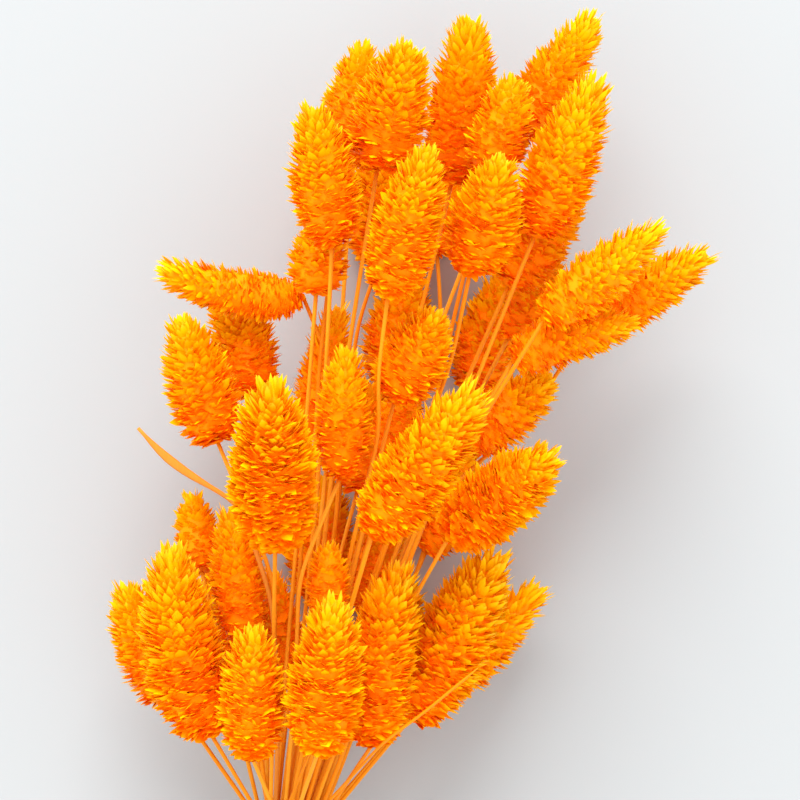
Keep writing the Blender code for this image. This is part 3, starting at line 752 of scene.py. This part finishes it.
def add_spikelets(surface, curve, half, draw):
    """Rows of spikelets, each of two folded glumes, leaning from the foot to the tip."""
    length = np.linalg.norm(curve[2] - curve[0])
    t, turn = spikelet_places(length, half, draw)
    n = len(t)
    u = (t - ROOT_SPAN[0]) / (ROOT_SPAN[1] - ROOT_SPAN[0])
    lean = np.radians(np.interp(u, LEAN_AT, LEAN_DEGREES) + draw.uniform(-LEAN_STRAY, LEAN_STRAY, n))
    core = half * np.interp(t, ROOT_OUTLINE_T, ROOT_OUTLINE_R) * ROOT_DEPTH
    size = spikelet_lengths(t, lean, core, half, length)
    size = size * draw.uniform(SIZE_RANGE[0], SIZE_RANGE[1] + TIP_EXTRA * u ** 4, n)
    foot, handle, tip = curve
    s = t[:, None]
    way = unit_rows((1 - s) * (handle - foot) + s * (tip - handle))
    side, up = side_and_up(way)
    out = side * np.cos(turn)[:, None] + up * np.sin(turn)[:, None]
    across = np.cross(way, out)
    root = along(curve, t) + out * core[:, None]
    grow = np.clip(half / COMMON_HALF, *GROWTH_LIMITS)
    own = draw.uniform(0, 1, n)
    m = len(STATION)
    edge = np.abs(SIDEWAYS)
    # The inner glume folds one way and the outer one the other way.
    for hand in (-1, 1):
        tilt = lean + np.radians(draw.uniform(*OPENING, n)) * hand
        sway = draw.uniform(-SWAY, SWAY, n)
        point = unit_rows(
            way * np.cos(tilt)[:, None] + out * np.sin(tilt)[:, None] + across * sway[:, None]
        )
        face = out * np.cos(tilt)[:, None] - way * np.sin(tilt)[:, None]
        face = unit_rows(face - (face * point).sum(1)[:, None] * point)
        wide = np.cross(point, face)
        roll = np.radians(draw.normal(0, ROLL, n))
        face, wide = (
            face * np.cos(roll)[:, None] + wide * np.sin(roll)[:, None],
            wide * np.cos(roll)[:, None] - face * np.sin(roll)[:, None],
        )
        own_size = size * draw.uniform(*LENGTH_RANGE, n)
        narrowed = 1 - NARROWING * u - TIP_NARROWING * u ** 4
        breadth = 0.5 * GLUME_WIDTH * grow * draw.uniform(*BREADTH_RANGE, n) * narrowed
        fold = draw.uniform(*FOLD_RANGE, n) * hand
        curl = draw.uniform(*CURL_RANGE, n) * own_size * -hand
        bow = curl[:, None] * STATION ** 2
        ridge = breadth[:, None] * GLUME_FOLD * fold[:, None] + bow
        lift = ridge[..., None] * (1 - edge) + bow[..., None] * edge
        spread = (breadth[:, None] * GLUME_WIDE)[..., None] * SIDEWAYS
        reach = own_size[:, None] * STATION
        middle = root[:, None, :] + point[:, None, :] * reach[..., None]
        points = (
            middle[:, :, None, :]
            + wide[:, None, None, :] * spread[..., None]
            + face[:, None, None, :] * lift[..., None]
        ).reshape(-1, 3)
        i = (np.arange(n)[:, None, None] * m + np.arange(m - 1)[None, :, None]) * 3
        i = i + np.arange(2)[None, None, :]
        quads = np.stack([i, i + 1, i + 4, i + 3], -1).reshape(-1, 4)
        # Partly painted light: the tone grows toward the head's tip, partly dye and partly painted as
        # if the tip end were lit from above. Each glume also runs from painted shade at its root to a
        # painted highlight at its tip.
        tone = own + draw.uniform(-TONE_STRAY, TONE_STRAY, n)
        tone = np.clip(DYE_AND_LIGHT_OF_PLACE * u + (1 - DYE_AND_LIGHT_OF_PLACE) * tone, 0, 1)
        shade = np.zeros((n, m, 3, 3))
        shade[..., 0] = GLUME_SHADE_TO_HIGHLIGHT[None, :, None]
        shade[..., 1] = tone[:, None, None]
        surface.add(points, quads, 0, shade.reshape(-1, 3))


def node(tree, kind, **values):
    made = tree.nodes.new(kind)
    for key, value in values.items():
        setattr(made, key, value)
    return made


def new_material(name, roughness):
    material = bpy.data.materials.new(name)
    material.use_nodes = True
    tree = material.node_tree
    shader = tree.nodes["Principled BSDF"]
    shader.inputs["Roughness"].default_value = roughness
    return material, tree, shader


def ramp(tree, stops, level):
    """Colour that the ramp gives at a level."""
    made = node(tree, "ShaderNodeValToRGB")
    bar = made.color_ramp
    while len(bar.elements) > 1:
        bar.elements.remove(bar.elements[-1])
    bar.elements[0].position = stops[0][0]
    bar.elements[0].color = (*stops[0][1], 1.0)
    for place, colour in stops[1:]:
        bar.elements.new(place).color = (*colour, 1.0)
    tree.links.new(level, made.inputs["Fac"])
    return made.outputs["Color"]


def reckon(tree, operation, *values):
    """Result of a sum whose values are numbers or other nodes' results."""
    made = node(tree, "ShaderNodeMath", operation=operation)
    for k, value in enumerate(values):
        if isinstance(value, float):
            made.inputs[k].default_value = value
        else:
            tree.links.new(value, made.inputs[k])
    return made.outputs[0]


def shade_tones(tree):
    """Place and tone that the mesh carries in its shades."""
    shade = node(tree, "ShaderNodeAttribute", attribute_name="shade")
    split = node(tree, "ShaderNodeSeparateColor")
    tree.links.new(shade.outputs["Color"], split.inputs["Color"])
    return split.outputs["Red"], split.outputs["Green"]


def noise(tree, place, scale, detail):
    made = node(tree, "ShaderNodeTexNoise")
    made.inputs["Scale"].default_value = scale
    made.inputs["Detail"].default_value = detail
    tree.links.new(place, made.inputs["Vector"])
    return made.outputs["Fac"]


def add_bump(tree, shader, height, strength, distance):
    bump = node(tree, "ShaderNodeBump")
    bump.inputs["Strength"].default_value = strength
    bump.inputs["Distance"].default_value = distance
    tree.links.new(height, bump.inputs["Height"])
    tree.links.new(bump.outputs["Normal"], shader.inputs["Normal"])


def grain_material():
    """Dyed, papery glumes: deep orange at the root as painted shade, yellow toward the tip as a
    painted highlight.
    """
    material, tree, shader = new_material("dyed_glumes_painted_light", roughness=0.55)
    glume_shade_to_highlight, tone = shade_tones(tree)
    place = node(tree, "ShaderNodeTexCoord").outputs["Object"]
    streak = noise(tree, place, scale=420.0, detail=2.0)
    patch = noise(tree, place, scale=60.0, detail=1.0)
    # Along each glume the ramp runs from painted shade at the root to a painted highlight at the tip.
    shift = reckon(tree, "MULTIPLY_ADD", tone, GRAIN_TONE_SHARE, glume_shade_to_highlight)
    noisy = reckon(tree, "MULTIPLY_ADD", streak, GRAIN_STREAK_SHARE, shift)
    level = reckon(tree, "SUBTRACT", noisy, GRAIN_LEVEL)
    mix = node(tree, "ShaderNodeMix", data_type="RGBA", blend_type="MULTIPLY")
    mix.inputs["Factor"].default_value = TINT_SHARE
    tree.links.new(ramp(tree, GRAIN_STOPS, level), mix.inputs["A"])
    tree.links.new(ramp(tree, TINT_STOPS, patch), mix.inputs["B"])
    tree.links.new(mix.outputs["Result"], shader.inputs["Base Color"])
    shader.inputs["Specular IOR Level"].default_value = 0.06
    add_bump(tree, shader, streak, strength=0.25, distance=0.0002)
    return material


def straw_material(name, stops):
    """Dyed straw: tones of orange in fine lengthwise streaks."""
    material, tree, shader = new_material(name, roughness=0.45)
    tone = shade_tones(tree)[1]
    place = node(tree, "ShaderNodeTexCoord").outputs["Object"]
    stretch = node(tree, "ShaderNodeMapping")
    stretch.inputs["Scale"].default_value = STREAK_STRETCH
    tree.links.new(place, stretch.inputs["Vector"])
    streak = noise(tree, stretch.outputs["Vector"], scale=2600.0, detail=2.0)
    blend = reckon(tree, "MULTIPLY_ADD", streak, STRAW_STREAK_SHARE, tone)
    level = reckon(tree, "MULTIPLY", blend, STRAW_LEVEL)
    tree.links.new(ramp(tree, stops, level), shader.inputs["Base Color"])
    shader.inputs["Specular IOR Level"].default_value = 0.12
    add_bump(tree, shader, streak, strength=0.35, distance=0.0001)
    return material


def twine_material():
    """Natural twine with fuzzy fibres."""
    material, tree, shader = new_material("natural_twine", roughness=0.9)
    place = node(tree, "ShaderNodeTexCoord").outputs["Object"]
    fibre = noise(tree, place, scale=1800.0, detail=3.0)
    tree.links.new(ramp(tree, TWINE_STOPS, fibre), shader.inputs["Base Color"])
    add_bump(tree, shader, fibre, strength=0.6, distance=0.0002)
    return material


def floor_material():
    """Pale, matt surface."""
    material, _, shader = new_material("pale_floor", roughness=0.9)
    shader.inputs["Base Color"].default_value = FLOOR_COLOUR
    shader.inputs["Specular IOR Level"].default_value = 0.1
    return material


def stem_width(line, number):
    """Stems taper a little toward the seed head, and each is uneven in its own way."""
    share = np.linspace(0, 1, len(line))
    return STRAW_R - STRAW_TAPER * share + STRAW_UNEVEN * np.sin(share * UNEVEN_WAVES + number)


def make_seed_head(i, line, curve, half, materials):
    """Seed head i and its stem, grown as one piece."""
    head = HEADS[i]
    draw = np.random.RandomState(SPIKELET_SEED + i)
    surface = Surface()
    stem = smooth_line(line, STEM_STEP)
    width = stem_width(stem, i)
    surface.tube(stem, width, width, STRAW_SIDES, 1, draw.uniform(*STRAW_TONES))
    add_body(surface, curve, half)
    add_spikelets(surface, curve, half, draw)
    piece = surface.make(head[0] + "_grown", materials)
    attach(piece, "root")
    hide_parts(head[0])


def leaf_form(line):
    """Half width and half thickness of the leaf blade, which widens and then narrows."""
    away = np.linalg.norm(line - line[-1], axis=1)
    return np.interp(away, LEAF_AWAY, LEAF_HALF_WIDTH), np.interp(away, LEAF_AWAY, LEAF_HALF_DEPTH)


def bare_form(line):
    """Half width and half thickness of a bare stem, thin at its free tip."""
    away = np.linalg.norm(line - line[-1], axis=1)
    share = np.linspace(0, 1, len(line))
    across = (BARE_R - BARE_TAPER * share) * np.clip(away / BARE_TIP, BARE_TIP_SHARE, 1.0)
    return across, across


def make_bare(bare, line, form, material):
    """A stem with no seed head."""
    surface = Surface()
    line = smooth_line(line, BARE_STEP)
    across, high = form(line)
    surface.tube(line, across, high, BARE_SIDES, 0, BARE_TONE)
    piece = surface.make(bare[0] + "_grown", [material])
    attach(piece, "root")
    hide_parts(bare[0])


def add_twine(surface, line, way, size):
    """Two plies wound round each other along a line."""
    step = np.concatenate([[0.0], np.cumsum(np.linalg.norm(np.diff(line, axis=0), axis=1))])
    forward = unit_rows(np.gradient(line, axis=0))
    across = unit_rows(np.cross(forward, way[None, :]))
    other = np.cross(forward, across)
    for start in PLY_STARTS:
        turn = start + step * 2 * math.pi / PLY_PITCH
        wind = across * np.cos(turn)[:, None] + other * np.sin(turn)[:, None]
        strand = line + PLY_OFFSET * size * wind
        surface.tube(strand, PLY_R * size, PLY_R * size, PLY_SIDES, 0, 0.0)


def make_tie(tie, lean, slot, material):
    """Coils of two-ply twine round the stems, a knot and two tails."""
    surface = Surface()
    way = np.array([lean[0], 1.0, lean[1]])
    way /= np.linalg.norm(way)
    up = np.array([0.0, 0.0, 1.0]) - way[2] * way
    up /= np.linalg.norm(up)
    side = np.cross(way, up)
    # Each turn lies on the outermost stem of its direction, so the twine is taut.
    angle = np.linspace(TWINE_START, TWINE_START + 2 * math.pi * TWINE_TURNS, TWINE_SPOTS)
    drift = np.linspace(-TIE_HALF_WIDTH + TWINE_R, TIE_HALF_WIDTH - TWINE_R, TWINE_SPOTS)
    out = np.stack([np.cos(angle), np.sin(angle)], 1)
    ring = slot[(slot @ out.T).argmax(axis=0)] + (STEM_REST + TWINE_CLEARANCE + TWINE_R) * out
    coil = tie + side * ring[:, :1] + up * ring[:, 1:] + way * drift[:, None]
    add_twine(surface, smooth_line(coil, COIL_STEP), way, 1.0)
    # The knot and the tails lie on top of the twine, over the highest stem.
    crest = slot[slot[:, 1].argmax()]
    top = crest[1] + STEM_REST + TWINE_CLEARANCE + 2 * TWINE_R
    for hand in (-1, 1):
        route = np.array([
            tie + side * (crest[0] + hand * across) + up * (top + above) + way * forward
            for across, above, forward in TAIL_SPOTS
        ])
        add_twine(surface, smooth_line(route, TAIL_STEP), way, TAIL_SIZE)
    loop = np.linspace(0, 2 * math.pi, KNOT_SPOTS)
    swing_side, swing_way, swing_up = KNOT_SWING
    knot = (
        tie + side * crest[0] + up * (top + KNOT_HEIGHT)
        + side[None, :] * (swing_side * np.sin(2 * loop))[:, None]
        + way[None, :] * (swing_way * np.sin(loop))[:, None]
        + up[None, :] * (swing_up * np.cos(3 * loop))[:, None]
    )
    add_twine(surface, knot, way, KNOT_SIZE)
    piece = surface.make("twine_tie_coils", [material])
    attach(piece, "root")
    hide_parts("twine_tie")


def make_floor():
    """A wide flat surface under the bunch."""
    ground = bpy.data.meshes.new("floor")
    corners = [(-1, -1), (1, -1), (1, 1), (-1, 1)]
    ground.from_pydata([(x * FLOOR_HALF, y * FLOOR_HALF, 0.0) for x, y in corners], [], [(0, 1, 2, 3)])
    ground.materials.append(floor_material())
    floor = bpy.data.objects.new("floor", ground)
    bpy.context.scene.collection.objects.link(floor)


def make_light(x, y):
    """Even daylight from all sides, and a broad soft key light beyond the heads."""
    world = bpy.data.worlds.new("studio")
    world.use_nodes = True
    sky = world.node_tree.nodes["Background"]
    sky.inputs["Color"].default_value = (1.0, 1.0, 1.0, 1.0)
    sky.inputs["Strength"].default_value = DAYLIGHT
    bpy.context.scene.world = world
    lamp = bpy.data.lights.new("key", "AREA")
    lamp.shape = "DISK"
    lamp.size = KEY_SIZE
    lamp.energy = KEY_POWER
    key = bpy.data.objects.new("key", lamp)
    place = Vector((x + KEY_PLACE[0], y + KEY_PLACE[1], KEY_PLACE[2]))
    key.location = place
    key.rotation_euler = (Vector((x, y, KEY_AIM_HEIGHT)) - place).to_track_quat("-Z", "Y").to_euler()
    bpy.context.scene.collection.objects.link(key)


def make_camera(x, y):
    """Looks straight down on the middle of the layout and sees the whole grid."""
    eye = bpy.data.cameras.new("eye")
    eye.sensor_width = SENSOR
    eye.lens = SENSOR * SIGHT / (2 * GRID_MIDDLE * GRID)
    eye.clip_start = NEAREST
    camera = bpy.data.objects.new("eye", eye)
    camera.location = (x, y, (SIGHT + LEVEL) * MM)
    bpy.context.scene.collection.objects.link(camera)
    bpy.context.scene.camera = camera


heights, half_widths = settle_heads()
lines, curves, slot, tie, lean = route_stems(heights, half_widths)
OFFSET = offset_from_frame(lines)

grain = grain_material()
straw = straw_material("dyed_straw", STRAW_STOPS)
leaf = straw_material("dyed_leaf", LEAF_STOPS)
for i, curve in enumerate(curves):
    make_seed_head(i, lines[i], curve, half_widths[i], [grain, straw])
make_bare(BARE[0], lines[len(HEADS)], leaf_form, leaf)
for bare, line in zip(BARE[1:], lines[len(HEADS) + 1:]):
    make_bare(bare, line, bare_form, straw)
make_tie(tie, lean, slot, twine_material())

middle_x, middle_y = OFFSET[:2] * MM
make_floor()
make_light(middle_x, middle_y)
make_camera(middle_x, middle_y)
bpy.context.scene.view_settings.view_transform = "Standard"
bpy.context.scene.cycles.diffuse_bounces = 12
bpy.context.scene.cycles.max_bounces = 14
